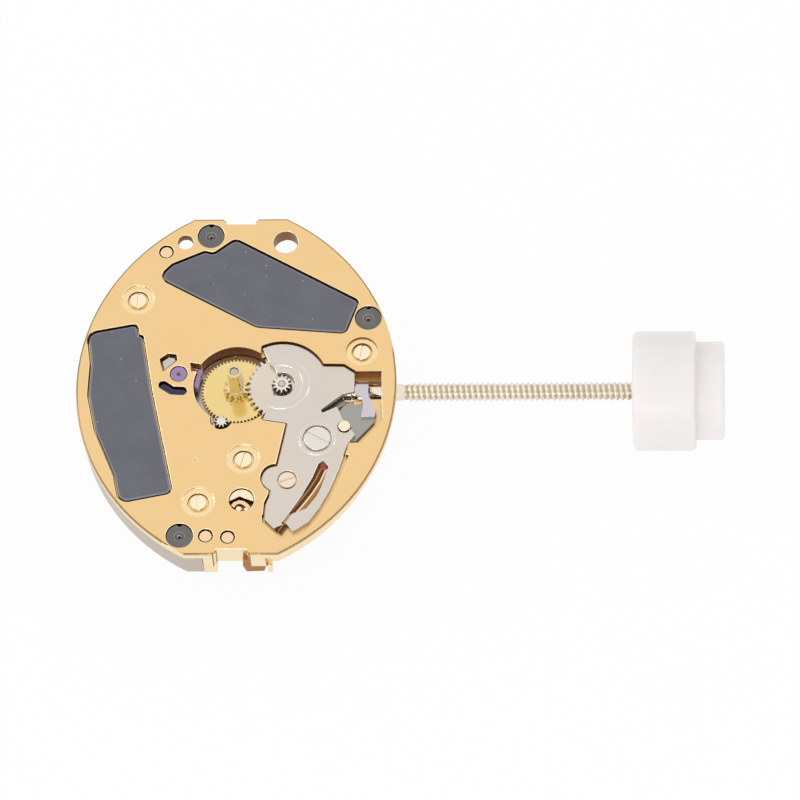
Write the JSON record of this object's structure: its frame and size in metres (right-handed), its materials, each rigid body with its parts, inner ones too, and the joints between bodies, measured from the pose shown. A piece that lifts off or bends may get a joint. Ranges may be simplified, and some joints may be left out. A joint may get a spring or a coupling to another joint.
{
  "type": "quartz watch movement",
  "caption": "Two-hand quartz watch movement, dial side up, with gold-plated plate, gear train, keyless works, threaded stem and knob.",
  "frame": {"origin": "where the hand axis meets the dial face of the main plate", "axes": "+X along the stem to the crown side, +Y to 12 o'clock, +Z out of the dial face"},
  "size_m": [0.0306, 0.0178, 0.0057],
  "materials": {
    "gold_plating": "gold-plated, fine satin",
    "gold_screw": "gold-plated, polished",
    "wheel_brass": "polished",
    "insert_plastic": "moulded, matt",
    "bushing_plastic": "moulded, satin",
    "dark_plug": "gloss",
    "nickel": "nickel, satin",
    "satin_steel": "fine brushed",
    "bright_steel": "polished",
    "dark_steel": "satin",
    "magnet": "sintered, matt",
    "jewel": "polished synthetic ruby",
    "knob_plastic": "moulded, translucent white",
    "copper_wire": "enamelled wire",
    "cell_steel": "satin",
    "board": "solder mask",
    "chip": "moulded resin"
  },
  "bodies": {
    "root": {"main_plate": "gold_plating", "top_insert": "insert_plastic", "left_insert": "insert_plastic", "dial_foot_bushings": "bushing_plastic", "plate_screws": "gold_screw", "locating_pins": "gold_plating", "battery_contacts": "gold_screw", "slot_blade": "nickel", "shock_plug": "dark_plug", "center_tube": "nickel", "minute_stud": "bright_steel", "rotor_jewel": "jewel", "train_jewels": "jewel", "train_bridge": "gold_plating", "train_bridge_screws": "gold_screw", "keyless_bridge": "satin_steel", "bridge_screw": "bright_steel", "keyless_small_screw": "gold_screw", "lever_pin": "bright_steel", "coil_core": "dark_steel", "coil_winding": "copper_wire", "stator": "satin_steel", "button_cell": "cell_steel", "cell_clamp": "satin_steel", "cell_clamp_screw": "gold_screw", "circuit_board": "board", "circuit_chip": "chip", "quartz_crystal": "cell_steel", "circuit_cover": "nickel"},
    "fork": {"shift_fork": "dark_steel"},
    "pinion": {"sliding_pinion": "bright_steel"},
    "stem": {"winding_stem": "bright_steel", "stem_knob": "knob_plastic"},
    "lever": {"setting_lever": "dark_steel"},
    "third": {"third_wheel": "satin_steel"},
    "center": {"center_wheel": "wheel_brass"},
    "cannon": {"cannon_pinion": "bright_steel"},
    "minute": {"minute_wheel": "satin_steel"},
    "intermediate": {"intermediate_wheel": "wheel_brass"},
    "rotor": {"rotor": "magnet"}
  },
  "joints": [
    {"name": "third_wheel_turn", "type": "hinge", "parent": "root", "child": "third", "pos_m": [-0.00066, -0.00181, -0.001], "axis": [0, 0, 1], "continuous": true},
    {"name": "center_wheel_turn", "type": "hinge", "parent": "root", "child": "center", "pos_m": [0, 0, -0.0007], "axis": [0, 0, 1], "continuous": true},
    {"name": "cannon_pinion_turn", "type": "hinge", "parent": "root", "child": "cannon", "pos_m": [0, 0, 0], "axis": [0, 0, 1], "continuous": true},
    {"name": "minute_wheel_turn", "type": "hinge", "parent": "root", "child": "minute", "pos_m": [0.00215, 0.00009, -0.0004], "axis": [0, 0, 1], "continuous": true},
    {"name": "intermediate_wheel_turn", "type": "hinge", "parent": "root", "child": "intermediate", "pos_m": [-0.00153, -0.00027, -0.0016], "axis": [0, 0, 1], "continuous": true},
    {"name": "rotor_turn", "type": "hinge", "parent": "root", "child": "rotor", "pos_m": [-0.00274, 0.00062, -0.0014], "axis": [0, 0, 1], "continuous": true},
    {"name": "fork_shift", "type": "slide", "parent": "root", "child": "fork", "axis": [1, 0, 0], "range_m": [-0.0003, 0]},
    {"name": "stem_turn", "type": "hinge", "parent": "fork", "child": "pinion", "pos_m": [0.0048, 0, -0.00084], "axis": [1, 0, 0], "continuous": true},
    {"name": "stem_pull", "type": "slide", "parent": "pinion", "child": "stem", "axis": [1, 0, 0], "range_m": [0, 0.0008]},
    {"name": "lever_swing", "type": "hinge", "parent": "root", "child": "lever", "pos_m": [0.00516, -0.00216, -0.00045], "axis": [0, 0, 1], "range_deg": [-14.1, 0]}
  ],
  "couplings": [
    {"joint": "center_wheel_turn", "follows": "third_wheel_turn", "ratio": -0.16667},
    {"joint": "cannon_pinion_turn", "follows": "third_wheel_turn", "ratio": -0.16667},
    {"joint": "minute_wheel_turn", "follows": "third_wheel_turn", "ratio": 0.055556},
    {"joint": "intermediate_wheel_turn", "follows": "third_wheel_turn", "ratio": -3},
    {"joint": "rotor_turn", "follows": "third_wheel_turn", "ratio": 15},
    {"joint": "fork_shift", "follows": "stem_pull", "ratio": -0.375},
    {"joint": "lever_swing", "follows": "stem_pull", "rad_per_m": -306.5}
  ]
}
